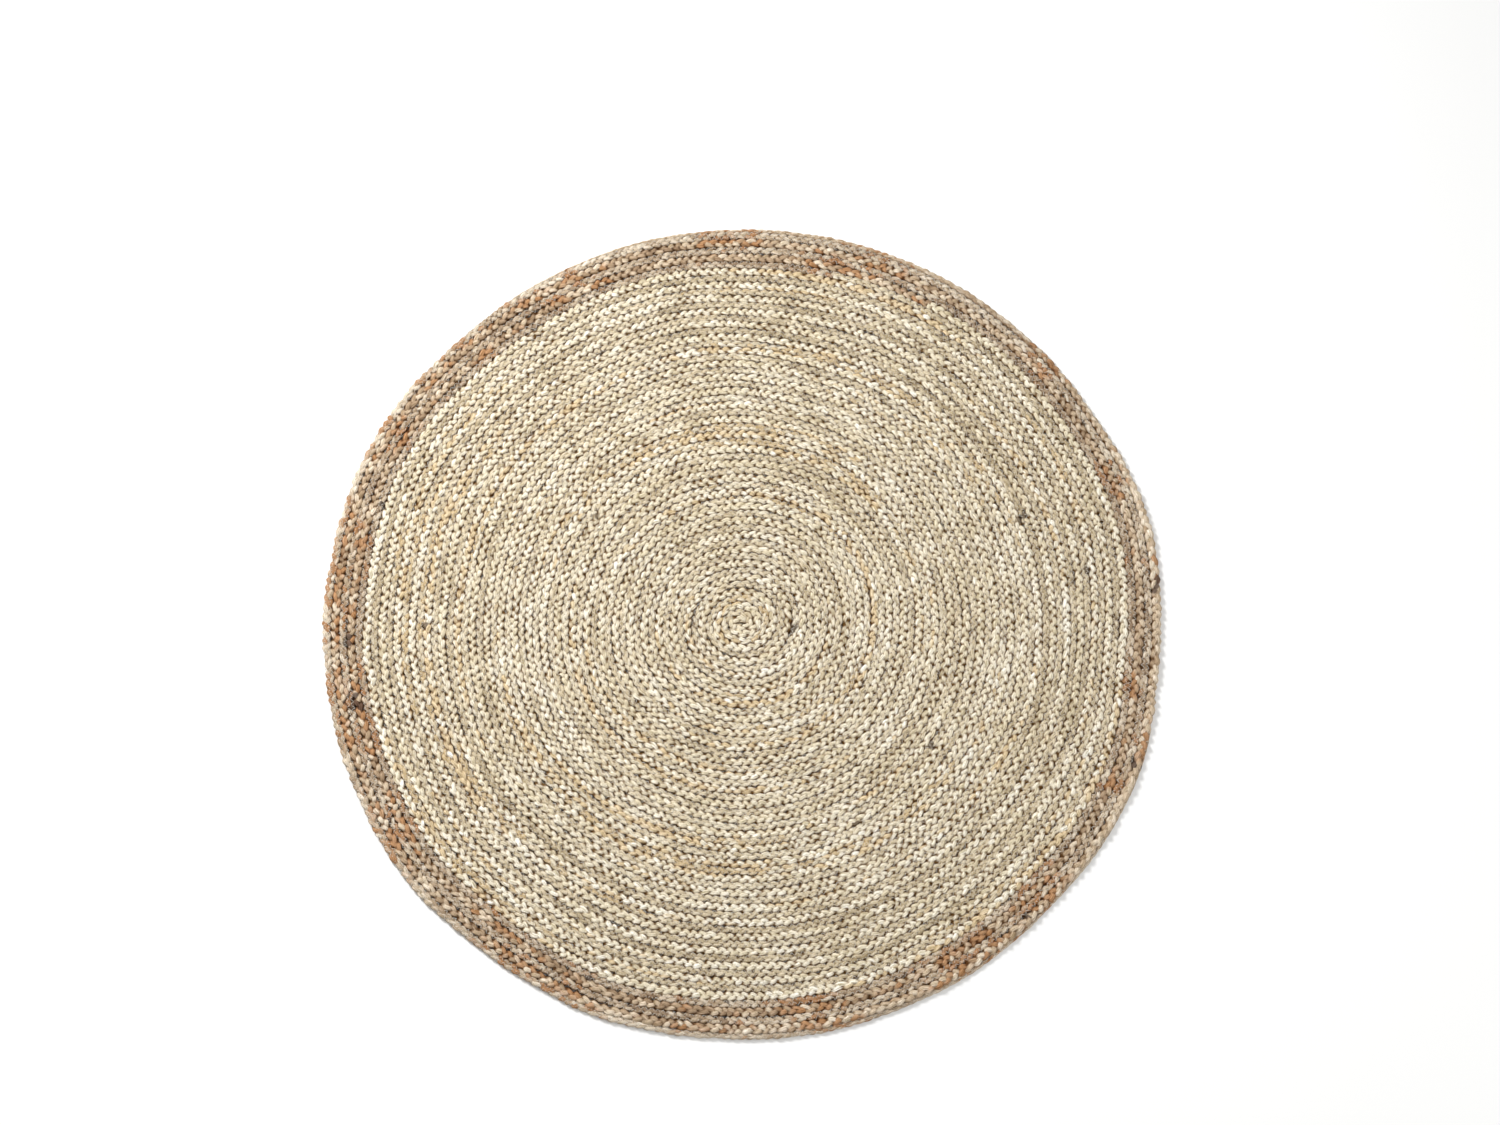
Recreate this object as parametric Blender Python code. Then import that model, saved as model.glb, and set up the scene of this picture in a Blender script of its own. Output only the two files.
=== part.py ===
"""Round braided jute rug, lying flat: two braids coiled side by side, with a darker border.

A raised braid and a stitched braid start as two half-moons in the middle and wind
outwards together, anticlockwise from above. Zigzag stitching lies on the stitched braid,
which is a little thinner, and joins it to the raised braid on both sides. The last
two to three turns are brown, and each brown braid ends in a long taper at the rim.
The origin is in the middle of the underside, +Z is up, and all sizes are in metres.
"""

import math
from dataclasses import dataclass, replace

import bpy

# Driving sizes
RUG_DIAMETER = 1.200  # the coil has the whole number of turns that comes nearest to it
FIELD_RAISED_WIDTH = 0.0111
FIELD_STITCHED_WIDTH = 0.0099
BORDER_RAISED_WIDTH = 0.0119
BORDER_STITCHED_WIDTH = 0.0107
RAISED_HEIGHT = 0.0080
STITCHED_HEIGHT = 0.0064
THREAD_THICKNESS = 0.0004
THREAD_MARGIN = 0.0006  # from the stitching's edge to the edge of its braid
THREAD_LIFT = 0.0001  # keeps the lower stitching off the floor
GAP = 0.0003  # between touching pieces
TAIL_TIP_WIDTH = 0.0040

# Polar angles in degrees, anticlockwise from +X, each a whole number of steps
STEP = 15.0  # how finely the coil is drawn
START_LINE = 75.0  # the line that parts the two half-moons
RAISED_JOIN = 60.0  # where the cream braid becomes brown
STITCHED_JOIN = 75.0  # where the sand braid becomes brown
RAISED_END = 135.0
STITCHED_END = 345.0
TAIL_TAPER = 120.0  # the arc over which a braid's end narrows

# Worked out from the driving sizes
FIELD_PITCH = FIELD_RAISED_WIDTH + FIELD_STITCHED_WIDTH  # how far a turn of the pair moves out
BORDER_PITCH = BORDER_RAISED_WIDTH + BORDER_STITCHED_WIDTH
BORDER_TURNS = 2.55  # turns of the pair from the field to the rim, on average
RIM_TURNS = 0.3  # how far past the last whole turn the rim is, on average
FIELD_TURNS = (RUG_DIAMETER / 2 - BORDER_TURNS * BORDER_PITCH) / FIELD_PITCH
LAST_TURN = round(FIELD_TURNS + BORDER_TURNS - RIM_TURNS)
FIRST_BORDER_TURN = LAST_TURN + RIM_TURNS - BORDER_TURNS
STITCHED_BASE = THREAD_LIFT + THREAD_THICKNESS + GAP
RAISED_START = START_LINE
STITCHED_START = START_LINE - 180.0


@dataclass
class Braid:
    """One length of braid. Its angles are cumulative, in degrees, 360 to a turn of the coil."""

    name: str
    raised: bool
    first: float
    last: float
    colour: tuple
    half_moon: bool = False
    tapered: bool = False


def clear_scene():
    for obj in list(bpy.data.objects):
        bpy.data.objects.remove(obj, do_unlink=True)


def inside_raised(angle):
    """Radius of the raised braid's inner edge, which is also the stitched braid's outer edge."""
    turns = (angle - RAISED_START) / 360.0
    return FIELD_PITCH * turns + (BORDER_PITCH - FIELD_PITCH) * max(0.0, turns - FIRST_BORDER_TURN)


def outside_raised(angle):
    """Radius of the raised braid's outer edge, where the stitched braid lies against it."""
    in_field = angle < RAISED_START + 360.0 * FIRST_BORDER_TURN
    share = FIELD_RAISED_WIDTH / FIELD_PITCH if in_field else BORDER_RAISED_WIDTH / BORDER_PITCH
    inner = inside_raised(angle)
    return inner + share * (inside_raised(angle + 360.0) - inner)


def coil_angles(first, last):
    """Cumulative angles of a braid's sections: its two ends, and the steps between them."""
    numbers = range(math.floor(first / STEP) + 1, math.ceil(last / STEP))
    return [first] + [number * STEP for number in numbers] + [last]


def polar(radius, degrees):
    angle = math.radians(degrees)
    return (radius * math.cos(angle), radius * math.sin(angle))


def braid_edges(braid, margin=0.0):
    """Points along the outer and the inner edge of a braid, or of a strip that lies on it."""
    outer = []
    inner = []
    inset = GAP / 2 + margin
    for angle in coil_angles(braid.first, braid.last):
        if braid.raised:
            low = inside_raised(angle) + inset
            high = outside_raised(angle) - inset
        else:
            low = outside_raised(angle) + inset
            high = inside_raised(angle + 360.0) - inset
        if braid.tapered:
            eased = max(0.0, (angle - braid.last + TAIL_TAPER) / TAIL_TAPER)
            tip = low + TAIL_TIP_WIDTH - 2 * margin
            high += (tip - high) * eased
        outer.append(polar(high, angle))
        if not braid.half_moon or angle >= braid.first + 180.0:
            inner.append(polar(low, angle))
    if braid.half_moon:
        away = polar(GAP / 2, braid.first + 90.0)
        outer[0] = (outer[0][0] + away[0], outer[0][1] + away[1])
        inner[0] = (inner[0][0] + away[0], inner[0][1] + away[1])
    return outer, inner


def make_material(name, colour, roughness):
    material = bpy.data.materials.new(name)
    material.use_nodes = True
    shader = material.node_tree.nodes["Principled BSDF"]
    shader.inputs["Base Color"].default_value = (*colour, 1.0)
    shader.inputs["Roughness"].default_value = roughness
    shader.inputs["Metallic"].default_value = 0.0
    return material


def make_flat_piece(collection, name, edges, base, height, material):
    """A flat coiled strip between two edges, extruded from base up to base + height."""
    outer, inner = edges
    outline = outer + inner[::-1]
    curve = bpy.data.curves.new(name, "CURVE")
    curve.dimensions = "2D"
    curve.fill_mode = "BOTH"
    curve.extrude = height / 2
    spline = curve.splines.new("POLY")
    spline.points.add(len(outline) - 1)
    for point, (x, y) in zip(spline.points, outline):
        point.co = (x, y, 0.0, 1.0)
    spline.use_cyclic_u = True
    curve.materials.append(material)
    piece = bpy.data.objects.new(name, curve)
    piece.location = (0.0, 0.0, base + height / 2)
    collection.objects.link(piece)
    return piece


def rug_braids():
    """The four lengths of braid: raised and stitched, in the field and in the border."""
    raised_join = 360.0 * (LAST_TURN - 2) + RAISED_JOIN
    stitched_join = 360.0 * (LAST_TURN - 3) + STITCHED_JOIN
    raised_end = 360.0 * LAST_TURN + RAISED_END
    stitched_end = 360.0 * (LAST_TURN - 1) + STITCHED_END
    join_gap = math.degrees(GAP / (RUG_DIAMETER / 2))
    cream = Braid(
        "cream_raised_braid", True, RAISED_START, raised_join,
        (0.70, 0.60, 0.43), half_moon=True,
    )
    sand = Braid(
        "sand_stitched_braid", False, STITCHED_START, stitched_join,
        (0.52, 0.42, 0.28), half_moon=True,
    )
    brown = Braid(
        "brown_raised_border_braid", True, raised_join + join_gap, raised_end,
        (0.40, 0.30, 0.21), tapered=True,
    )
    dull_brown = Braid(
        "brown_stitched_border_braid", False, stitched_join + join_gap, stitched_end,
        (0.33, 0.25, 0.18), tapered=True,
    )
    return cream, sand, brown, dull_brown


def stitching_edges(sand, dull_brown):
    """Edges of the zigzag stitching, which runs along both lengths of the stitched braid."""
    past_half_moon = replace(sand, first=STITCHED_START + 180.0, half_moon=False)
    outer, inner = braid_edges(past_half_moon, THREAD_MARGIN)
    border_outer, border_inner = braid_edges(dull_brown, THREAD_MARGIN)
    return outer + border_outer, inner + border_inner


def build():
    clear_scene()
    collection = bpy.data.collections.new("round_braided_rug")
    bpy.context.scene.collection.children.link(collection)
    cream, sand, brown, dull_brown = rug_braids()
    for braid in (cream, sand, brown, dull_brown):
        base = 0.0 if braid.raised else STITCHED_BASE
        height = RAISED_HEIGHT if braid.raised else STITCHED_HEIGHT
        jute = make_material(braid.name, braid.colour, 0.9)
        make_flat_piece(collection, braid.name, braid_edges(braid), base, height, jute)
    thread = make_material("sewing_thread", (0.86, 0.83, 0.76), 0.6)
    edges = stitching_edges(sand, dull_brown)
    needle_base = STITCHED_BASE + STITCHED_HEIGHT + GAP
    make_flat_piece(collection, "needle_thread", edges, needle_base, THREAD_THICKNESS, thread)
    make_flat_piece(collection, "bobbin_thread", edges, THREAD_LIFT, THREAD_THICKNESS, thread)


build()
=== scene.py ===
"""Looks of a round braided jute rug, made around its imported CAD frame.

The rug is two braids coiled side by side. A raised braid and a slightly thinner
stitched braid wind outwards together, anticlockwise from above, and rows of zigzag
stitching lie on the stitched braid and catch the raised one on both sides. Each braid is
three plaited strands of loosely spun jute, cream and sand in the field and brown in the
border. Every strand and every row of stitching is a piece of its own.

All sizes are in metres and all angles in degrees, in the frame of the CAD model.
"""

import logging
import math
from dataclasses import dataclass, field
from enum import Enum

import bpy
import numpy as np
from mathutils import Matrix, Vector


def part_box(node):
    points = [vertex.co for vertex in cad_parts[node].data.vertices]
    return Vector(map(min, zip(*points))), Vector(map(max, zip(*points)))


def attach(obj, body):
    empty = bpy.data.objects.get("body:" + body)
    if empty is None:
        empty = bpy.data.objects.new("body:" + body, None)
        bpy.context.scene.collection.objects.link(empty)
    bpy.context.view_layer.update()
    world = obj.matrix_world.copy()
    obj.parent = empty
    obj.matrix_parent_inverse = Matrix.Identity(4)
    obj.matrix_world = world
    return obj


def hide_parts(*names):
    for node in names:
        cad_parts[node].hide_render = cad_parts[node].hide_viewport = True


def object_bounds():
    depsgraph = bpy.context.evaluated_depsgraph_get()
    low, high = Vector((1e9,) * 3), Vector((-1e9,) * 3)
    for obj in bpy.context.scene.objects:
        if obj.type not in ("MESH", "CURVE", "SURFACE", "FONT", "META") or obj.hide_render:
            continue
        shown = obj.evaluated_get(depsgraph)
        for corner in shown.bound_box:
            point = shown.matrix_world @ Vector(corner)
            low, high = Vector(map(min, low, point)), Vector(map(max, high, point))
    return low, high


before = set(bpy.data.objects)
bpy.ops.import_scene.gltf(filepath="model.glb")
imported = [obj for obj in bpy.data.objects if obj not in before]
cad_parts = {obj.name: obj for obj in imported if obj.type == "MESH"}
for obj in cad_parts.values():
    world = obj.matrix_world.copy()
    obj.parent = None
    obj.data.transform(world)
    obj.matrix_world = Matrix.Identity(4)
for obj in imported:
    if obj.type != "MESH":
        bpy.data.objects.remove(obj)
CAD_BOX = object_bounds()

logging.basicConfig(level=logging.INFO, format="%(message)s")
LOG = logging.getLogger("rug")

STRAND_MAP = "Strand"
BAKE_MAP = "OFBake"

Value = float | bpy.types.NodeSocket


class Course(Enum):
    """The two braids that are coiled side by side."""

    RAISED = "raised"
    STITCHED = "stitched"


class Face(Enum):
    """The rug's two faces, each with its own stitching thread."""

    UPPER = "needle"
    UNDER = "bobbin"


# ---------------------------------------------------------------- shared modelling steps


def deselect_all() -> None:
    """Deselects every object, so that an operator acts on the next piece alone."""
    bpy.ops.object.select_all(action="DESELECT")


def make_active(piece: bpy.types.Object) -> None:
    """Selects one piece and nothing else.

    Args:
        piece: The object that the next operators act on.
    """
    deselect_all()
    piece.select_set(True)
    bpy.context.view_layer.objects.active = piece


def apply_modifiers(piece: bpy.types.Object) -> None:
    """Applies all of a piece's modifiers, from the first to the last."""
    make_active(piece)
    for name in [modifier.name for modifier in piece.modifiers]:
        bpy.ops.object.modifier_apply(modifier=name)


def start_tube(name: str, sides: int, radius: float, place: Vector,
               fill: str = "NOTHING") -> bpy.types.Object:
    """Adds the first ring of a tube along X, and selects it in edit mode to be extruded.

    Args:
        name: The piece's name.
        sides: How many sides the tube has.
        radius: The ring's radius.
        place: The ring's middle.
        fill: NOTHING for an open tube, or NGON for a closed one.

    Returns:
        The piece, in edit mode.
    """
    deselect_all()
    bpy.ops.mesh.primitive_circle_add(vertices=sides, radius=radius, fill_type=fill,
                                      rotation=(0.0, math.pi / 2, 0.0), location=place)
    tube = bpy.context.object
    tube.name = name
    bpy.ops.object.transform_apply(location=True, rotation=True, scale=True)
    bpy.ops.object.mode_set(mode="EDIT")
    bpy.ops.mesh.select_all(action="SELECT")
    return tube


def end_tube() -> None:
    """Turns the faces of the tube being edited outwards, and leaves edit mode."""
    bpy.ops.mesh.select_all(action="SELECT")
    bpy.ops.mesh.normals_make_consistent(inside=False)
    bpy.ops.object.mode_set(mode="OBJECT")


@dataclass(frozen=True)
class Noise:
    """A soft noise that moves a piece's points both ways along one direction.

    Attributes:
        name: Its texture's name.
        direction: X, Y, Z or NORMAL.
        size: How long its lumps are.
        strength: The distance between the moves of its lowest and its highest value.
    """

    name: str
    direction: str
    size: float
    strength: float

    def move(self, piece: bpy.types.Object) -> None:
        """Adds a Displace modifier that reads the noise at the piece's own coordinates.

        Args:
            piece: The object to move.
        """
        texture = bpy.data.textures.get(self.name) or bpy.data.textures.new(self.name, "CLOUDS")
        texture.noise_scale = self.size
        texture.noise_depth = 1
        modifier = piece.modifiers.new(f"{self.direction} {self.name}", "DISPLACE")
        modifier.direction = self.direction
        modifier.texture = texture
        modifier.texture_coords = "LOCAL"
        modifier.mid_level = 0.5
        modifier.strength = self.strength


STRAYS = (
    Noise("uneven tension", "X", 0.055, 0.0160),
    Noise("sideways stray", "Y", 0.032, 0.0034),
    Noise("height stray", "Z", 0.026, 0.0024),
)
RIPPLES = (
    Noise("ripple across", "X", 0.24, 0.0160),
    Noise("ripple along", "Y", 0.27, 0.0160),
)


def lumps(number: int) -> Noise:
    """The lumps of one strand, which differ a little in length from strand to strand."""
    return Noise(f"lumps {number}", "NORMAL", 0.008 + 0.0015 * number, 0.0034)


# ---------------------------------------------------------------- the coil


@dataclass(frozen=True)
class Coil:
    """The two-start coil that both braids follow, with the same sizes as the CAD model."""

    field_raised: float = 0.0111
    field_stitched: float = 0.0099
    border_raised: float = 0.0119
    border_stitched: float = 0.0107
    border_turns: float = 2.55
    rim_turns: float = 0.3
    start: float = 75.0
    raised_join: float = 60.0
    stitched_join: float = 75.0
    raised_end: float = 135.0
    stitched_end: float = 345.0
    taper: float = 120.0
    tip_width: float = 0.0015
    step: float = 3.0

    @property
    def field_pitch(self) -> float:
        """How far one turn of the two field braids moves outwards."""
        return self.field_raised + self.field_stitched

    @property
    def border_pitch(self) -> float:
        """How far one turn of the two border braids moves outwards."""
        return self.border_raised + self.border_stitched

    @property
    def last_turn(self) -> int:
        """The whole number of turns that reaches the rim of the CAD model."""
        low, high = CAD_BOX
        radius = max(high.x - low.x, high.y - low.y) / 2
        field_turns = (radius - self.border_turns * self.border_pitch) / self.field_pitch
        return round(field_turns + self.border_turns - self.rim_turns)

    def inside_raised(self, angle: float) -> float:
        """Finds the raised braid's inner edge.

        Args:
            angle: Cumulative angle along the coil.

        Returns:
            Radius of the edge.
        """
        turns = (angle - self.start) / 360.0
        past_field = max(0.0, turns - self.last_turn - self.rim_turns + self.border_turns)
        return self.field_pitch * turns + (self.border_pitch - self.field_pitch) * past_field

    def outside_raised(self, angle: float) -> float:
        """Finds the seam between the raised braid and the stitched one outside it.

        Args:
            angle: Cumulative angle along the coil.

        Returns:
            Radius of the seam.
        """
        first_border_turn = self.last_turn + self.rim_turns - self.border_turns
        in_field = angle < self.start + 360.0 * first_border_turn
        raised = self.field_raised if in_field else self.border_raised
        pitch = self.field_pitch if in_field else self.border_pitch
        inner = self.inside_raised(angle)
        return inner + raised / pitch * (self.inside_raised(angle + 360.0) - inner)

    def edges(self, course: Course, angle: float) -> tuple[float, float]:
        """Radii of a braid's inner and outer edge at a cumulative angle."""
        if course is Course.RAISED:
            return self.inside_raised(angle), self.outside_raised(angle)
        return self.outside_raised(angle), self.inside_raised(angle + 360.0)

    def wind(self, name: str, course: Course, first: float, last: float, width: float | None,
             height: float, tapered: bool) -> bpy.types.Object:
        """Makes the guide curve of one length of braid.

        Args:
            name: The guide's name.
            course: Which of the two braids it guides.
            first: Cumulative angle where the braid begins.
            last: Cumulative angle where it ends.
            width: The width at which the guide's radius is 1, or None to have a radius of 1
                wherever the braid has its full width.
            height: The braid's height, so that a thinner end still lies on the floor.
            tapered: Whether the braid narrows towards its end.

        Returns:
            A curve object with one point every few degrees.
        """
        count = math.ceil((last - first) / self.step)
        guide = bpy.data.curves.new(name, "CURVE")
        guide.dimensions = "3D"
        guide.twist_mode = "Z_UP"
        spline = guide.splines.new("POLY")
        spline.points.add(count)
        for number, point in enumerate(spline.points):
            angle = first + (last - first) * number / count
            low, high = self.edges(course, angle)
            full = high - low
            if tapered:
                eased = max(0.0, (angle - last + self.taper) / self.taper)
                high += (low + self.tip_width - high) * eased
            radius = (low + high) / 2
            turn = math.radians(angle)
            point.radius = (high - low) / (width or full)
            drop = max(0.0, 1.0 - point.radius) * height / 2
            point.co = (radius * math.cos(turn), radius * math.sin(turn), -drop, 1.0)
        holder = bpy.data.objects.new(name, guide)
        bpy.context.scene.collection.objects.link(holder)
        return holder


def guide_length(guide: bpy.types.Object) -> float:
    """Length of a guide curve, from its points."""
    points = [point.co.xyz for point in guide.data.splines[0].points]
    return sum((there - here).length for here, there in zip(points, points[1:]))


# ---------------------------------------------------------------- finishes


class Graph:
    """A material's node tree, with short ways to add nodes to it."""

    def __init__(self, name: str) -> None:
        """Starts a material that holds a Principled shader and its output.

        Args:
            name: The material's name.
        """
        self.material = bpy.data.materials.new(name)
        self.material.use_nodes = True
        self.tree = self.material.node_tree
        self.shader = self.tree.nodes["Principled BSDF"]

    def add(self, kind: str, inputs: dict | None = None, **settings: object) -> bpy.types.Node:
        """Adds a node.

        Args:
            kind: The node's type, without the word ShaderNode.
            inputs: For each socket's name or number, a value or the socket that feeds it.
            **settings: The node's own settings.

        Returns:
            The new node.
        """
        node = self.tree.nodes.new(f"ShaderNode{kind}")
        for name, value in settings.items():
            setattr(node, name, value)
        for socket, value in (inputs or {}).items():
            if isinstance(value, bpy.types.NodeSocket):
                self.tree.links.new(value, node.inputs[socket])
            else:
                node.inputs[socket].default_value = value
        return node

    def maths(self, operation: str, *values: Value) -> bpy.types.NodeSocket:
        """Adds a Math node on these numbers or sockets, and gives its result."""
        node = self.add("Math", dict(enumerate(values)), operation=operation)
        return node.outputs[0]

    def ranged(self, value: bpy.types.NodeSocket, low: float, high: float,
               to_low: float = 0.0, to_high: float = 1.0) -> bpy.types.NodeSocket:
        """Maps a value from one range to another, smoothly and held within it.

        Args:
            value: The value.
            low: Where the first range begins.
            high: Where the first range ends.
            to_low: The result at low.
            to_high: The result at high.

        Returns:
            The mapped value.
        """
        node = self.add("MapRange", {0: value, 1: low, 2: high, 3: to_low, 4: to_high},
                        interpolation_type="SMOOTHSTEP")
        return node.outputs[0]

    def ramp(self, value: bpy.types.NodeSocket, stops: tuple) -> bpy.types.NodeSocket:
        """Adds a colour ramp.

        Args:
            value: What the ramp reads, from 0 to 1.
            stops: Pairs of a place and a colour.

        Returns:
            The ramp's colour.
        """
        node = self.add("ValToRGB", {0: value})
        elements = node.color_ramp.elements
        while len(elements) < len(stops):
            elements.new(0.5)
        for element, (place, colour) in zip(elements, stops):
            element.position = place
            element.color = (*colour, 1.0)
        return node.outputs[0]

    def mix(self, kind: str, share: Value, first: Value | tuple,
            second: Value | tuple) -> bpy.types.NodeSocket:
        """Mixes two colours.

        Args:
            kind: The blend type, such as MIX or MULTIPLY.
            share: How much of the second, a number or a socket.
            first: A colour or a socket.
            second: A colour or a socket.

        Returns:
            The mixed colour.
        """
        node = self.add("Mix", data_type="RGBA", blend_type=kind)
        for socket, value in ((0, share), (6, first), (7, second)):
            if isinstance(value, bpy.types.NodeSocket):
                self.tree.links.new(value, node.inputs[socket])
            else:
                node.inputs[socket].default_value = value if socket == 0 else (*value, 1.0)
        return node.outputs[2]


class StrandSpot:
    """The sockets that say where on its strand, and where in the rug, a point lies."""

    def __init__(self, graph: Graph, middle: float) -> None:
        """Adds the nodes that read the strand map and the place in the rug.

        Args:
            graph: The material's node tree.
            middle: Height of the plane halfway between the rug's two faces.
        """
        strand = graph.add("UVMap", uv_map=STRAND_MAP)
        parts = graph.add("SeparateXYZ", {0: strand.outputs[0]})
        self.along, self.around = parts.outputs[0], parts.outputs[1]
        self.place = graph.add("TexCoord").outputs["Object"]
        spot = graph.add("SeparateXYZ", {0: self.place})
        self.east, self.north, height = spot.outputs[0], spot.outputs[1], spot.outputs[2]
        self.radius = graph.add("VectorMath", {0: self.place},
                                operation="LENGTH").outputs["Value"]
        self.off_middle = graph.maths("SUBTRACT", height, middle)
        side = graph.maths("SIGN", self.off_middle)
        crossing = graph.maths("FLOOR", graph.maths(
            "MULTIPLY_ADD", side, -0.25, graph.maths("MULTIPLY", self.along, 2.0)))
        self.number = graph.maths("FLOOR", self.around)
        seed = graph.add("CombineXYZ", {0: crossing, 1: self.number, 2: side}).outputs[0]
        self.chances = graph.add("SeparateColor", {0: graph.add(
            "TexWhiteNoise", {"Vector": seed}, noise_dimensions="3D").outputs["Color"]}).outputs


@dataclass(frozen=True)
class JuteFinish:
    """Loosely spun jute, whose tone changes from one crossing of the plait to the next, with shade
    painted on the strands' flanks and deep between them.

    Attributes:
        name: The material's name.
        tones: The jute's colour from its darkest tone to its lightest, as stops of a ramp.
        top: Height of the braid's upper face.
        accent: Colour of the rusty places.
        accent_from: Value of the patches above which rusty crossings appear.
        accent_most: The largest share of rusty crossings.
        fleck: Colour of the rare dark crossings.
        fleck_from: Value of the fleck patches above which dark crossings appear.
        outer_shift: How much the tone rises across the outer zone.
        outer_zone: Radii where the outer zone begins and is fully reached.
        variety: How much the tone differs from one crossing to the next.
        in_rings: Whether the rusty patches are streaks along the rows.
        crevice_shade: Painted shade, the colour that the jute is multiplied by on the strands'
            flanks and deep between the strands.
        middle: Height of the plane halfway between the rug's two faces.
        rim_zone: Radii across which the painted crevice shade fades, as the rim's outer side is in
            the open.
        drift_weight: How much the tone drifts along a strand.
        patch_weight: How much the tone differs from one part of the rug to another.
        ring_weight: How much the tone differs from one row to the next.
        blend: How fully a rusty or dark crossing takes its colour.
    """

    name: str
    tones: tuple
    top: float
    accent: tuple
    accent_from: float
    accent_most: float
    fleck: tuple
    fleck_from: float
    outer_shift: float
    outer_zone: tuple
    variety: float
    in_rings: bool
    # Painted shade: the dark brown that multiplies the jute on the strands' flanks and deep
    # between the strands.
    crevice_shade: tuple = (0.19, 0.105, 0.04)
    middle: float = 0.0040
    rim_zone: tuple = (0.587, 0.597)
    drift_weight: float = 0.55
    patch_weight: float = 0.45
    ring_weight: float = 0.75
    blend: float = 0.85

    def make(self) -> bpy.types.Material:
        """Builds the material.

        Returns:
            The jute, reading the piece's own strand map and its place in the rug.
        """
        graph = Graph(self.name)
        spot = StrandSpot(graph, self.middle)
        fibre_seed = graph.add("CombineXYZ", {0: graph.maths("MULTIPLY", spot.along, 1.6),
                                              1: graph.maths("MULTIPLY", spot.around, 26.0)})
        fibre = graph.add("TexNoise", {"Vector": fibre_seed.outputs[0], "Scale": 1.6,
                                       "Detail": 4.0, "Roughness": 0.7}).outputs[0]
        colour = self.dyed(graph, spot)
        colour = self.streaked(graph, colour, fibre)
        # Painted shade on the strands' flanks and deep between the strands.
        colour = self.shaded(graph, spot, colour)
        graph.tree.links.new(colour, graph.shader.inputs["Base Color"])
        self.roughen(graph, fibre)
        return graph.material

    def dyed(self, graph: Graph, spot: StrandSpot) -> bpy.types.NodeSocket:
        """Colours each crossing by its own tone, with rusty patches and rare dark flecks.

        Args:
            graph: The material's node tree.
            spot: Where the point lies.

        Returns:
            The colour of the crossing.
        """
        drift_seed = graph.add("CombineXYZ", {0: spot.along,
                                              1: graph.maths("MULTIPLY", spot.number, 7.3)})
        drift = graph.add("TexNoise", {"Vector": drift_seed.outputs[0], "Scale": 0.45,
                                       "Detail": 2.0}).outputs[0]
        patch = graph.add("TexNoise", {"Vector": spot.place, "Scale": 8.0,
                                       "Detail": 2.0}).outputs[0]
        ring_seed = graph.add("CombineXYZ", {0: graph.maths("MULTIPLY", spot.radius, 30.0),
                                             1: spot.east, 2: spot.north})
        ring = graph.add("TexNoise", {"Vector": ring_seed.outputs[0], "Scale": 1.5,
                                      "Detail": 1.0}).outputs[0]
        tone = graph.maths("MULTIPLY_ADD", spot.chances[0], self.variety, -self.variety / 2)
        for source, weight in ((drift, self.drift_weight), (patch, self.patch_weight),
                               (ring, self.ring_weight)):
            tone = graph.maths("MULTIPLY_ADD", graph.maths("SUBTRACT", source, 0.5), weight, tone)
        outer = graph.ranged(spot.radius, *self.outer_zone, 0.5, 0.5 + self.outer_shift)
        colour = graph.ramp(graph.maths("ADD", tone, outer), self.tones)

        share = graph.ranged(ring if self.in_rings else patch, self.accent_from,
                             self.accent_from + 0.22, -0.2, self.accent_most)
        rust = graph.ranged(graph.maths("SUBTRACT", share, spot.chances[1]), -0.1, 0.3)
        colour = graph.mix("MIX", graph.maths("MULTIPLY", rust, self.blend), colour, self.accent)
        speck = graph.add("TexNoise", {"Vector": spot.place, "Scale": 21.0,
                                       "Detail": 1.0}).outputs[0]
        share = graph.ranged(speck, self.fleck_from, self.fleck_from + 0.16)
        dark = graph.ranged(graph.maths("SUBTRACT", share, spot.chances[2]), 0.0, 0.2)
        return graph.mix("MIX", graph.maths("MULTIPLY", dark, self.blend), colour, self.fleck)

    def streaked(self, graph: Graph, colour: bpy.types.NodeSocket,
                 fibre: bpy.types.NodeSocket) -> bpy.types.NodeSocket:
        """Streaks the colour along the fibres, browner where it is darker.

        Args:
            graph: The material's node tree.
            colour: The colour so far.
            fibre: The noise that follows the fibres.

        Returns:
            The streaked colour.
        """
        streak = graph.ranged(fibre, 0.38, 0.60, 0.40, 1.38)
        shade = graph.add("CombineColor", {0: streak, 1: graph.maths("POWER", streak, 1.12),
                                           2: graph.maths("POWER", streak, 1.50)}).outputs[0]
        return graph.mix("MULTIPLY", 1.0, colour, shade)

    def shaded(self, graph: Graph, spot: StrandSpot,
               colour: bpy.types.NodeSocket) -> bpy.types.NodeSocket:
        """Paints shade into the colour: darkens the strands' flanks and whatever lies deep between
        them.

        Args:
            graph: The material's node tree.
            spot: Where the point lies.
            colour: The colour so far.

        Returns:
            The shaded colour.
        """
        # Painted shade: a mask that is strongest on the strands' flanks and deep below the braid's
        # top, and weaker at the rim's open outer side.
        flank = graph.maths("ABSOLUTE", graph.maths("SINE", graph.maths(
            "MULTIPLY", spot.around, 2 * math.pi)))
        half = self.top - self.middle
        depth = graph.ranged(graph.maths("ABSOLUTE", spot.off_middle), half - 0.0034,
                             half - 0.0005, 1.0, 0.0)
        painted_shade = graph.maths("MAXIMUM", graph.ranged(flank, 0.05, 0.80, 0.97, 0.0), depth)
        painted_shade = graph.maths("MULTIPLY", painted_shade,
                             graph.ranged(spot.radius, *self.rim_zone, 1.0, 0.15))
        return graph.mix("MULTIPLY", painted_shade, colour, self.crevice_shade)

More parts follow.
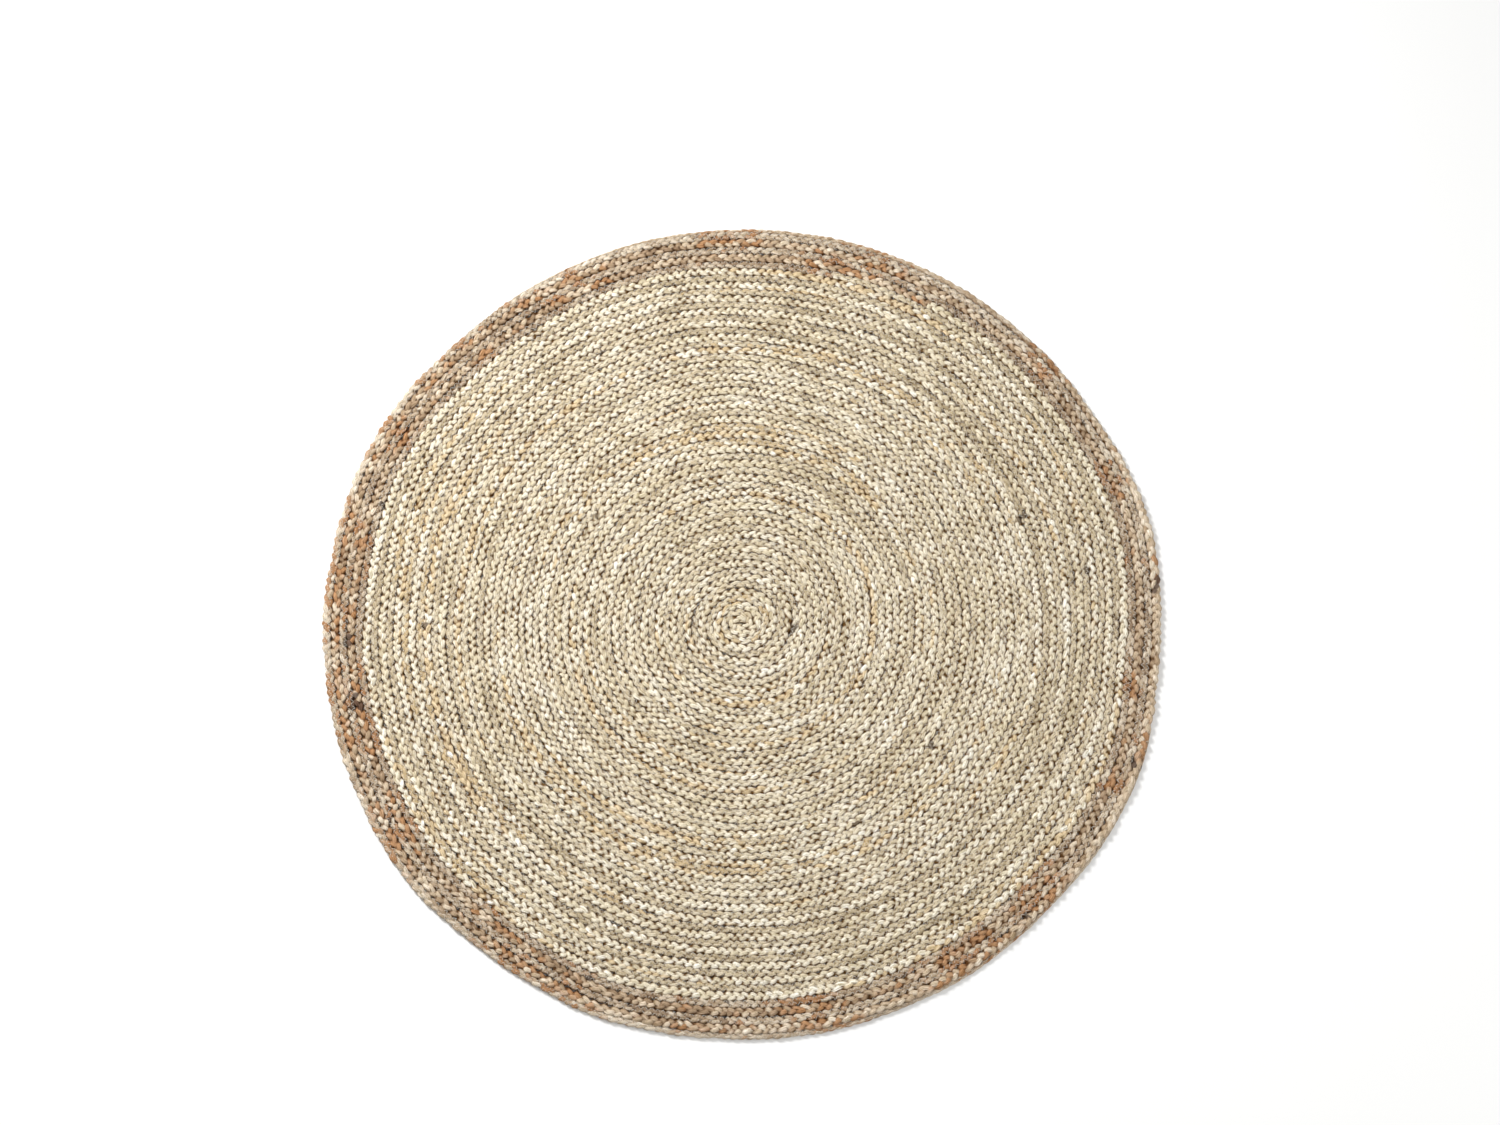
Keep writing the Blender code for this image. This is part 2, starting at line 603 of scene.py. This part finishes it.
    def roughen(self, graph: Graph, fibre: bpy.types.NodeSocket) -> None:
        """Sets the bumps, the roughness and the faint sheen of dry fibres.

        Args:
            graph: The material's node tree.
            fibre: The noise that follows the fibres.
        """
        shader = graph.shader
        bump = graph.add("Bump", {"Strength": 0.8, "Distance": 0.0008, "Height": fibre})
        graph.tree.links.new(bump.outputs[0], shader.inputs["Normal"])
        graph.tree.links.new(graph.ranged(fibre, 0.3, 0.7, 0.95, 0.78),
                             shader.inputs["Roughness"])
        shader.inputs["Sheen Weight"].default_value = 0.06
        shader.inputs["Sheen Roughness"].default_value = 0.5
        shader.inputs["Sheen Tint"].default_value = (0.85, 0.62, 0.38, 1.0)
        shader.inputs["Specular IOR Level"].default_value = 0.12


@dataclass(frozen=True)
class PlainFinish:
    """One even colour, for threads and fibres that are too thin to show a pattern."""

    name: str
    colour: tuple
    roughness: float

    def make(self) -> bpy.types.Material:
        """Builds the material, or finds it if it is already there.

        Returns:
            The material.
        """
        found = bpy.data.materials.get(self.name)
        if found:
            return found
        graph = Graph(self.name)
        graph.shader.inputs["Base Color"].default_value = (*self.colour, 1.0)
        graph.shader.inputs["Roughness"].default_value = self.roughness
        graph.shader.inputs["Sheen Weight"].default_value = 0.2
        return graph.material


# ---------------------------------------------------------------- braids


@dataclass
class PlaitedBraid:
    """One length of three-strand plait, from its guide curve to its three finished strands.

    Attributes:
        node: The CAD node that it replaces.
        slot: Not used.
        label: Start of its strands' names.
        course: Which of the two braids it is.
        finish: Its jute.
        first: Cumulative angle where it begins.
        last: Cumulative angle where it ends.
        width: Its full width.
        height: Its height.
        base: Height of its under side above the floor.
        strand_seed: A whole number that sets its strands' tones apart from the others'.
        tapered: Whether it narrows towards its end.
        nominal_repeat: Length in which a strand comes back to the same place, before it is
            fitted to the braid's length.
        edge_share: A strand's width at the braid's edge, as a share of the braid's width.
        middle_share: A strand's width at the braid's middle, likewise.
        sway_share: How far a strand sways to each side, likewise.
        thickness_share: A strand's thickness, as a share of the braid's height.
        fold: How sharply a strand folds over at the braid's edge.
        early_rise: How many degrees of phase a strand rises before it crosses the middle.
        sides: How many sides a strand has.
        steps: How many lengths one repeat has.
        strands: The finished strands.
    """

    node: str
    slot: str
    label: str
    course: Course
    finish: JuteFinish
    first: float
    last: float
    width: float
    height: float
    base: float
    strand_seed: int
    tapered: bool = False
    nominal_repeat: float = 0.0387
    edge_share: float = 0.80
    middle_share: float = 0.74
    sway_share: float = 0.26
    thickness_share: float = 0.66
    fold: float = 0.13
    early_rise: float = 32.0
    sides: int = 6
    steps: int = 12
    strands: list = field(default_factory=list)

    def section(self, phase: float) -> tuple[Vector, float, float]:
        """A strand's place and size at one phase of the plait.

        Args:
            phase: The phase, where 1 is a full repeat.

        Returns:
            The middle of the strand's section, its width and its thickness.
        """
        turn = 2 * math.pi * phase
        thickness = self.thickness_share * self.height
        sway = self.sway_share * self.width
        rise = (self.height - thickness * math.cos(math.pi / self.sides)) / 2
        crossing = math.sin(2 * turn + math.radians(self.early_rise))
        widened = (self.middle_share - self.edge_share) * abs(crossing)
        across = (math.sin(turn) - self.fold * math.sin(3 * turn)) / (1 + self.fold)
        middle = Vector((0.0, sway * across, -rise * crossing))
        return middle, self.width * (self.edge_share + widened), thickness

    def model_repeat(self, number: int, repeat: float) -> bpy.types.Object:
        """Models one repeat of a strand along X, from a ring that is extruded step by step.

        Args:
            number: Which of the three strands it is, from 0.
            repeat: The repeat's length.

        Returns:
            The open tube, with its strand map.
        """
        shift = number / 3
        here, width, thickness = self.section(shift)
        strand = start_tube(f"{self.label}_strand_{number + 1}", self.sides, 0.5, here)
        bpy.ops.transform.resize(value=(1.0, width, thickness), center_override=here)
        for step in range(1, self.steps + 1):
            middle, next_width, next_thickness = self.section(shift + step / self.steps)
            there = Vector((repeat * step / self.steps, middle.y, middle.z))
            bpy.ops.mesh.extrude_region_move(TRANSFORM_OT_translate={"value": there - here})
            bpy.ops.transform.resize(value=(1.0, next_width / width, next_thickness / thickness),
                                     center_override=there)
            here, width, thickness = there, next_width, next_thickness
        end_tube()
        self.map_repeat(strand, number, repeat)
        return strand

    def map_repeat(self, strand: bpy.types.Object, number: int, repeat: float) -> None:
        """Lays out a strand's map: repeats along it in U, and once around it in V.

        Args:
            strand: One repeat of the strand.
            number: Which of the three strands it is, from 0.
            repeat: The repeat's length.
        """
        mesh = strand.data
        layer = mesh.uv_layers.new(name=STRAND_MAP)
        for face in mesh.polygons:
            places = []
            for loop in face.loop_indices:
                point = mesh.vertices[mesh.loops[loop].vertex_index].co
                along = point.x / repeat + number / 3
                middle = self.section(along)[0]
                turn = math.atan2(point.z - middle.z, point.y - middle.y) / (2 * math.pi) + 0.002
                places.append([loop, along, turn % 1.0])
            wraps = max(place[2] for place in places) > 0.5 + min(place[2] for place in places)
            for loop, along, turn in places:
                around = turn + 1.0 if wraps and turn < 0.5 else turn
                layer.data[loop].uv = (along, self.strand_seed + number + 0.998 * min(around, 1.0))

    def wind_strand(self, strand: bpy.types.Object, guide: bpy.types.Object, repeat: float,
                    count: int) -> None:
        """Repeats a strand along its guide and gives it the unevenness of hand work.

        Args:
            strand: One repeat of the strand.
            guide: The braid's guide curve.
            repeat: The repeat's length.
            count: How many repeats fill the guide.
        """
        repeat_along(strand, count, repeat)
        lumps(int(strand.name[-1])).move(strand)
        wander(strand)
        follow(strand, guide)
        close_ends(strand, self.sides)
        lift(strand, self.base + self.height / 2)
        ripple(strand)
        press(strand, self.base / 2)

    def map_for_bake(self, strand: bpy.types.Object, count: int) -> None:
        """Lays the long strand out as rows on a square, in a second map.

        Args:
            strand: The wound strand.
            count: How many repeats it has.
        """
        mesh = strand.data
        per_row = max(1, round(math.sqrt(count * 0.4)))
        rows = math.ceil(count / per_row)
        along_around = np.empty(2 * len(mesh.loops), np.float32)
        mesh.uv_layers[STRAND_MAP].uv.foreach_get("vector", along_around)
        along_around = along_around.reshape(-1, 2)
        starts = np.empty(len(mesh.polygons), np.int32)
        totals = np.empty(len(mesh.polygons), np.int32)
        mesh.polygons.foreach_get("loop_start", starts)
        mesh.polygons.foreach_get("loop_total", totals)
        face_of_loop = np.repeat(np.arange(len(starts)), totals)
        middle = np.add.reduceat(along_around[:, 0], starts) / totals
        origin = along_around[:, 0].min()
        row = np.floor((middle - origin) / per_row)[face_of_loop]
        across = (along_around[:, 0] - origin - row * per_row) / per_row
        around = along_around[:, 1] - np.floor(along_around[:, 1].min())
        up = (row + 0.04 + 0.92 * around) / rows
        places = np.stack([across.clip(0, 1), up.clip(0, 1)], 1).astype(np.float32)
        layer = mesh.uv_layers.new(name=BAKE_MAP)
        layer.uv.foreach_set("vector", places.ravel())
        mesh.uv_layers[STRAND_MAP].active_render = True

    def build(self, coil: Coil) -> None:
        """Builds the braid's three strands.

        Args:
            coil: The coil that the braid follows.
        """
        guide = coil.wind(f"{self.label} guide", self.course, self.first, self.last, self.width,
                          self.height, self.tapered)
        length = guide_length(guide)
        count = round(length / self.nominal_repeat)
        for number in range(3):
            strand = self.model_repeat(number, length / count)
            self.wind_strand(strand, guide, length / count, count)
            self.map_for_bake(strand, count)
            self.strands.append(strand)
            LOG.info("%s: %d repeats on %.2f m of plait", strand.name, count, length)
        bpy.data.objects.remove(guide)

    def dress(self) -> None:
        """Gives the strands their jute and ties them to the frame."""
        jute = self.finish.make()
        for strand in self.strands:
            strand.data.materials.clear()
            strand.data.materials.append(jute)
            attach(strand, "root")
            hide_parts(self.node)


def repeat_along(piece: bpy.types.Object, count: int, spacing: float) -> None:
    """Repeats a piece along X and joins each copy to the next.

    Args:
        piece: One repeat.
        count: How many repeats there are.
        spacing: The repeat's length.
    """
    array = piece.modifiers.new("repeats", "ARRAY")
    array.fit_type = "FIXED_COUNT"
    array.count = count
    array.use_relative_offset = False
    array.use_constant_offset = True
    array.constant_offset_displace = (spacing, 0.0, 0.0)
    array.use_merge_vertices = True
    array.merge_threshold = 0.00001
    array.offset_u = 1.0


def follow(piece: bpy.types.Object, guide: bpy.types.Object) -> None:
    """Bends a straight piece along a guide curve and applies all its modifiers.

    Args:
        piece: The piece along X.
        guide: The guide curve.
    """
    bend = piece.modifiers.new("coil", "CURVE")
    bend.object = guide
    bend.deform_axis = "POS_X"
    apply_modifiers(piece)


def close_ends(piece: bpy.types.Object, sides: int) -> None:
    """Closes a tube's two open ends and shades it smooth.

    Args:
        piece: The coiled tube.
        sides: How many sides the tube has.
    """
    make_active(piece)
    bpy.ops.object.mode_set(mode="EDIT")
    bpy.ops.mesh.select_all(action="SELECT")
    bpy.ops.mesh.fill_holes(sides=sides)
    bpy.ops.object.mode_set(mode="OBJECT")
    bpy.ops.object.shade_smooth()


def wander(piece: bpy.types.Object) -> None:
    """Lets a straight piece stray, alike for all pieces at the same place, before it is coiled."""
    for noise in STRAYS:
        noise.move(piece)


def lift(piece: bpy.types.Object, height: float) -> None:
    """Raises a coiled piece to its place above the floor.

    Args:
        piece: The piece.
        height: How far it is raised.
    """
    make_active(piece)
    bpy.ops.object.mode_set(mode="EDIT")
    bpy.ops.mesh.select_all(action="SELECT")
    bpy.ops.transform.translate(value=(0.0, 0.0, height))
    bpy.ops.object.mode_set(mode="OBJECT")


def press(piece: bpy.types.Object, floor: float) -> None:
    """Flattens whatever would reach below the floor.

    Args:
        piece: The piece in its place.
        floor: The lowest height that it may have.
    """
    points = np.empty(3 * len(piece.data.vertices), np.float32)
    piece.data.vertices.foreach_get("co", points)
    points[2::3] = points[2::3].clip(floor, None)
    piece.data.vertices.foreach_set("co", points)
    piece.data.update()


def ripple(piece: bpy.types.Object) -> None:
    """Moves a coiled piece with the slight ripple that runs through the whole rug."""
    for noise in RIPPLES:
        noise.move(piece)
    apply_modifiers(piece)


# ---------------------------------------------------------------- stitching


@dataclass
class ZigzagRow:
    """One row of zigzag stitching along the stitched braid.

    Attributes:
        label: The piece's name.
        finish: Its colour.
        node: The CAD node that it replaces.
        first: Cumulative angle where the row begins.
        last: Cumulative angle where it ends.
        inner_reach: How far outside the braid's middle line the inner holes lie.
        outer_reach: How far outside it the outer holes lie.
        middle_height: Height of the braid's middle.
        span_height: How far above that middle the thread lies.
        hole_height: How far above it the thread dips at each hole.
        pitch: Length of one zigzag.
        points_per_run: How many points the thread has from one hole to the next.
        thickness: The thread's thickness.
        sides: How many sides the thread has.
    """

    label: str
    finish: PlainFinish
    node: str
    first: float
    last: float
    inner_reach: float
    outer_reach: float
    middle_height: float
    span_height: float
    hole_height: float
    pitch: float
    points_per_run: int
    thickness: float = 0.0005
    sides: int = 3

    def stations(self, pitch: float) -> list[Vector]:
        """Places along one zigzag, from its first hole to the next one on the same side.

        Args:
            pitch: Length of one zigzag.

        Returns:
            The places.
        """
        places = []
        runs = ((self.inner_reach, self.outer_reach), (self.outer_reach, self.inner_reach))
        for number, (start, end) in enumerate(runs):
            for step in range(self.points_per_run):
                share = step / self.points_per_run
                height = self.hole_height if step == 0 else self.span_height
                places.append(Vector(((number + share) * pitch / 2, start + (end - start) * share,
                                      height)))
        return places + [Vector((pitch, self.inner_reach, self.hole_height))]

    def model_zigzag(self, pitch: float) -> bpy.types.Object:
        """Models one zigzag of thread along X, by extruding a small ring.

        Args:
            pitch: Length of one zigzag.

        Returns:
            The open tube.
        """
        places = self.stations(pitch)
        here = places[0]
        run = abs(self.outer_reach - self.inner_reach)
        slant = math.hypot(run, pitch / 2) / (pitch / 2)
        thread = start_tube(self.label, self.sides, self.thickness / 2, here)
        bpy.ops.transform.resize(value=(1.0, slant, 1.0), center_override=here)
        for there in places[1:]:
            bpy.ops.mesh.extrude_region_move(TRANSFORM_OT_translate={"value": there - here})
            here = there
        end_tube()
        return thread

    def build(self, coil: Coil) -> bpy.types.Object:
        """Builds the row of stitching.

        Args:
            coil: The coil that it follows.

        Returns:
            The finished thread.
        """
        guide = coil.wind(f"{self.label} guide", Course.STITCHED, self.first, self.last, None,
                          2 * self.middle_height, True)
        length = guide_length(guide)
        count = round(length / self.pitch)
        thread = self.model_zigzag(length / count)
        repeat_along(thread, count, length / count)
        wander(thread)
        follow(thread, guide)
        lift(thread, self.middle_height)
        ripple(thread)
        press(thread, 0.0)
        close_ends(thread, self.sides)
        bpy.data.objects.remove(guide)
        LOG.info("%s: %d zigzags on %.2f m of braid", self.label, count, length)
        return thread

    def dress(self, thread: bpy.types.Object) -> None:
        """Gives the row its colour and ties it to the frame.

        Args:
            thread: The finished thread.
        """
        thread.data.materials.append(self.finish.make())
        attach(thread, "root")
        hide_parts(self.node)


# ---------------------------------------------------------------- stray fibres


@dataclass
class StrayFibres:
    """Loose fibres that stand out of the jute and lie over its upper face.

    Attributes:
        label: The piece's name.
        node: The CAD node that it goes with.
        slot: Not used.
        finish: Its colour.
        inner: Radius where the fibres begin.
        outer: Radius where they end.
        count: How many there are.
        top: Height of the braids' upper face.
        seed: Start of the random draws.
        thickness: A fibre's thickness.
        segments: How many lengths a fibre is bent in.
    """

    label: str
    node: str
    slot: str
    finish: PlainFinish
    inner: float
    outer: float
    count: int
    top: float
    seed: int
    thickness: float = 0.00022
    segments: int = 4

    def model_fibre(self) -> bpy.types.Object:
        """Models one straight fibre of length 1 along X, by extruding a small ring.

        Returns:
            The closed fibre.
        """
        fibre = start_tube(self.label, 3, self.thickness / 2, Vector(), "NGON")
        for _ in range(self.segments):
            bpy.ops.mesh.extrude_region_move(
                TRANSFORM_OT_translate={"value": (1.0 / self.segments, 0.0, 0.0)})
        end_tube()
        return fibre

    def build(self) -> bpy.types.Object:
        """Scatters bent copies of the fibre over the rug and joins them in one piece.

        Returns:
            The fibres.
        """
        fibre = self.model_fibre()
        points = np.array([vertex.co for vertex in fibre.data.vertices])
        faces = [tuple(face.vertices) for face in fibre.data.polygons]
        chance = np.random.default_rng(self.seed)
        low, high = self.inner ** 2, self.outer ** 2
        radius = np.sqrt(chance.uniform(low, high, self.count))
        turn = chance.uniform(0.0, 2 * math.pi, self.count)
        heading = turn + math.pi / 2 + chance.normal(0.0, 0.7, self.count)
        length = chance.uniform(0.005, 0.017, self.count)
        bend = chance.normal(0.0, 0.20, self.count) * length
        arch = chance.uniform(0.0002, 0.0016, self.count)
        along = points[:, 0][None, :]
        bow = 4 * along * (1 - along)
        forward = (along - 0.5) * length[:, None]
        sideways = bow * bend[:, None] + points[:, 1][None, :]
        cos, sin = np.cos(heading)[:, None], np.sin(heading)[:, None]
        east = (radius * np.cos(turn))[:, None] + forward * cos - sideways * sin
        north = (radius * np.sin(turn))[:, None] + forward * sin + sideways * cos
        up = self.top - 0.0006 + bow * arch[:, None] + points[:, 2][None, :]
        places = np.stack([east, north, up], 2).reshape(-1, 3)
        corners = [tuple(corner + copy * len(points) for corner in face)
                   for copy in range(self.count) for face in faces]
        mesh = bpy.data.meshes.new(self.label)
        mesh.from_pydata(places.tolist(), [], corners)
        fibre.data = mesh
        LOG.info("%s: %d fibres", self.label, self.count)
        return fibre

    def dress(self, fibres: bpy.types.Object) -> None:
        """Gives the fibres their colour and ties them to the frame.

        Args:
            fibres: The finished fibres.
        """
        fibres.data.materials.append(self.finish.make())
        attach(fibres, "root")
        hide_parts(self.node)


# ---------------------------------------------------------------- the rug


FIELD_CREAM = JuteFinish(
    name="cream jute", top=0.0080,
    tones=((0.0, (0.50, 0.40, 0.25)), (0.35, (0.76, 0.66, 0.465)), (0.6, (0.88, 0.80, 0.63)),
           (1.0, (0.97, 0.94, 0.84))),
    accent=(0.70, 0.53, 0.30), accent_from=0.49, accent_most=0.75, fleck=(0.13, 0.09, 0.06),
    fleck_from=0.70, outer_shift=0.04, outer_zone=(0.38, 0.47), variety=0.34, in_rings=True,
)
FIELD_SAND = JuteFinish(
    name="sand jute", top=0.0072,
    tones=((0.0, (0.42, 0.33, 0.20)), (0.35, (0.68, 0.57, 0.39)), (0.6, (0.83, 0.74, 0.56)),
           (1.0, (0.94, 0.89, 0.77))),
    accent=(0.62, 0.46, 0.25), accent_from=0.49, accent_most=0.70, fleck=(0.10, 0.07, 0.05),
    fleck_from=0.69, outer_shift=-0.16, outer_zone=(0.38, 0.47), variety=0.34, in_rings=True,
)
BORDER_BROWN = JuteFinish(
    name="brown jute", top=0.0080,
    tones=((0.0, (0.22, 0.13, 0.07)), (0.35, (0.48, 0.345, 0.22)), (0.6, (0.67, 0.53, 0.37)),
           (1.0, (0.86, 0.75, 0.59))),
    accent=(0.45, 0.22, 0.09), accent_from=0.37, accent_most=0.64, fleck=(0.08, 0.05, 0.04),
    fleck_from=0.66, outer_shift=0.17, outer_zone=(0.566, 0.596), variety=0.55, in_rings=False,
)
BORDER_DULL = JuteFinish(
    name="dull brown jute", top=0.0072,
    tones=((0.0, (0.20, 0.12, 0.07)), (0.35, (0.44, 0.325, 0.215)), (0.6, (0.62, 0.50, 0.36)),
           (1.0, (0.82, 0.72, 0.57))),
    accent=(0.42, 0.20, 0.08), accent_from=0.39, accent_most=0.60, fleck=(0.07, 0.05, 0.04),
    fleck_from=0.65, outer_shift=0.17, outer_zone=(0.566, 0.596), variety=0.55, in_rings=False,
)
THREAD = PlainFinish(name="sewing thread", colour=(0.83, 0.79, 0.70), roughness=0.6)
PALE_FIBRE = PlainFinish(name="pale jute fibre", colour=(0.74, 0.63, 0.43), roughness=0.8)
BROWN_FIBRE = PlainFinish(name="brown jute fibre", colour=(0.48, 0.34, 0.20), roughness=0.8)


@dataclass
class Rug:
    """The whole rug: four lengths of plait, four rows of stitching and two sets of fibres.

    Attributes:
        coil: The coil that everything follows.
        join_overlap: How many degrees a field braid runs on inside the braid joined to it.
        early_start: How many degrees before the CAD model's start the braids begin, so that
            they close the middle.
    """

    coil: Coil = field(default_factory=Coil)
    join_overlap: float = 0.6
    early_start: float = 45.0

    def braids(self) -> list[PlaitedBraid]:
        """Plans the lengths of plait, with their heights read from the frame.

        Returns:
            The four braids, not yet built.
        """
        coil = self.coil
        turn = 360.0 * coil.last_turn
        raised_join = turn - 720.0 + coil.raised_join
        stitched_join = turn - 1080.0 + coil.stitched_join
        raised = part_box("cream_raised_braid")
        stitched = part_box("sand_stitched_braid")
        raised_sizes = {"height": raised[1].z - raised[0].z, "base": raised[0].z}
        stitched_sizes = {"height": stitched[1].z - stitched[0].z, "base": stitched[0].z}
        return [
            PlaitedBraid("cream_raised_braid", "cream_jute", "cream", Course.RAISED, FIELD_CREAM,
                         coil.start - self.early_start, raised_join + self.join_overlap,
                         coil.field_raised, strand_seed=0, **raised_sizes),
            PlaitedBraid("sand_stitched_braid", "sand_jute", "sand", Course.STITCHED, FIELD_SAND,
                         coil.start - 180.0 - self.early_start, stitched_join + self.join_overlap,
                         coil.field_stitched, strand_seed=3, **stitched_sizes),
            PlaitedBraid("brown_raised_border_braid", "brown_jute", "brown", Course.RAISED,
                         BORDER_BROWN, raised_join, turn + coil.raised_end, coil.border_raised,
                         strand_seed=6, tapered=True, **raised_sizes),
            PlaitedBraid("brown_stitched_border_braid", "dull_brown_jute", "dull_brown",
                         Course.STITCHED, BORDER_DULL, stitched_join,
                         turn - 360.0 + coil.stitched_end, coil.border_stitched, strand_seed=9,
                         tapered=True, **stitched_sizes),
        ]

    def stitching(self) -> list[ZigzagRow]:
        """Plans the rows of stitching, two on each face.

        Returns:
            The rows, not yet built.
        """
        coil = self.coil
        stitched_low, stitched_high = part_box("sand_stitched_braid")
        half = coil.field_stitched / 2 + 0.0007
        rows = []
        for face in Face:
            upper = face is Face.UPPER
            middle = (stitched_low.z + stitched_high.z) / 2
            span = (stitched_high.z + 0.0010 if upper else stitched_low.z - 0.0004) - middle
            hole = (stitched_high.z - 0.0020 if upper else stitched_low.z + 0.0022) - middle
            for side, inner, outer, pitch in (("inner", -half, -0.0002, 0.0080),
                                              ("outer", 0.0002, half, 0.0083)):
                rows.append(ZigzagRow(
                    f"{face.value}_zigzag_{side}", THREAD, f"{face.value}_thread",
                    coil.start, 360.0 * (coil.last_turn - 1) + coil.stitched_end,
                    inner, outer, middle, span, hole, pitch,
                    points_per_run=2 if upper else 1))
        return rows

    def fibres(self) -> list[StrayFibres]:
        """Plans the loose fibres of the field and of the border.

        Returns:
            The two sets of fibres, not yet built.
        """
        rim = max(corner for point in CAD_BOX for corner in point[:2]) - 0.004
        border = rim - self.coil.border_turns * self.coil.border_pitch
        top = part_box("cream_raised_braid")[1].z
        return [
            StrayFibres("cream_stray_fibres", "cream_raised_braid", "cream_jute", PALE_FIBRE,
                        0.005, border, 5500, top, seed=5),
            StrayFibres("brown_stray_fibres", "brown_raised_border_braid", "brown_jute",
                        BROWN_FIBRE, border, rim, 1300, top, seed=6),
        ]

    def build(self) -> None:
        """Builds and dresses every piece, and reports each one."""
        for braid in self.braids():
            braid.build(self.coil)
            braid.dress()
        for row in self.stitching():
            row.dress(row.build(self.coil))
        for fibres in self.fibres():
            fibres.dress(fibres.build())


# ---------------------------------------------------------------- studio


@dataclass(frozen=True)
class Studio:
    """A pale floor, soft light from above, and a camera that looks steeply down."""

    tilt: float = 15.5
    distance: float = 5.64
    lens: float = 94.7
    shift_x: float = 0.005
    shift_y: float = 0.0397

    def floor(self) -> None:
        """Lays a plain pale floor under the rug."""
        deselect_all()
        bpy.ops.mesh.primitive_plane_add(size=60.0, location=(0.0, 0.0, -0.0006))
        floor = bpy.context.object
        floor.name = "floor"
        graph = Graph("pale floor")
        graph.shader.inputs["Base Color"].default_value = (0.93, 0.93, 0.92, 1.0)
        graph.shader.inputs["Roughness"].default_value = 0.9
        floor.data.materials.append(graph.material)

    def light(self, name: str, place: tuple, size: float, power: float) -> None:
        """Hangs a square soft light that faces the rug.

        Args:
            name: The light's name.
            place: Where it hangs.
            size: Length of its side.
            power: Its power in watts.
        """
        lamp = bpy.data.lights.new(name, "AREA")
        lamp.size = size
        lamp.energy = power
        holder = bpy.data.objects.new(name, lamp)
        holder.location = place
        holder.rotation_euler = (-Vector(place)).to_track_quat("-Z", "Y").to_euler()
        bpy.context.scene.collection.objects.link(holder)

    def camera(self) -> None:
        """Sets the camera."""
        camera = bpy.data.cameras.new("camera")
        camera.lens = self.lens
        camera.sensor_width = 36.0
        camera.shift_x = self.shift_x
        camera.shift_y = self.shift_y
        holder = bpy.data.objects.new("camera", camera)
        tilt = math.radians(self.tilt)
        holder.location = (0.0, -self.distance * math.sin(tilt), self.distance * math.cos(tilt))
        holder.rotation_euler = (tilt, 0.0, 0.0)
        bpy.context.scene.collection.objects.link(holder)
        bpy.context.scene.camera = holder

    def build(self) -> None:
        """Sets up the floor, the lights, the surroundings and the camera."""
        self.floor()
        self.light("key light", (-1.8, 1.6, 2.0), 0.8, 100.0)
        self.light("fill light", (1.8, -1.0, 2.6), 2.5, 40.0)
        world = bpy.data.worlds.new("studio")
        world.use_nodes = True
        world.node_tree.nodes["Background"].inputs["Color"].default_value = (1.0, 1.0, 1.0, 1.0)
        world.node_tree.nodes["Background"].inputs["Strength"].default_value = 0.4
        bpy.context.scene.world = world
        bpy.context.scene.view_settings.view_transform = "Standard"
        self.camera()


def main() -> None:
    """Builds the studio and the rug."""
    Studio().build()
    Rug().build()


if __name__ == "__main__":
    main()
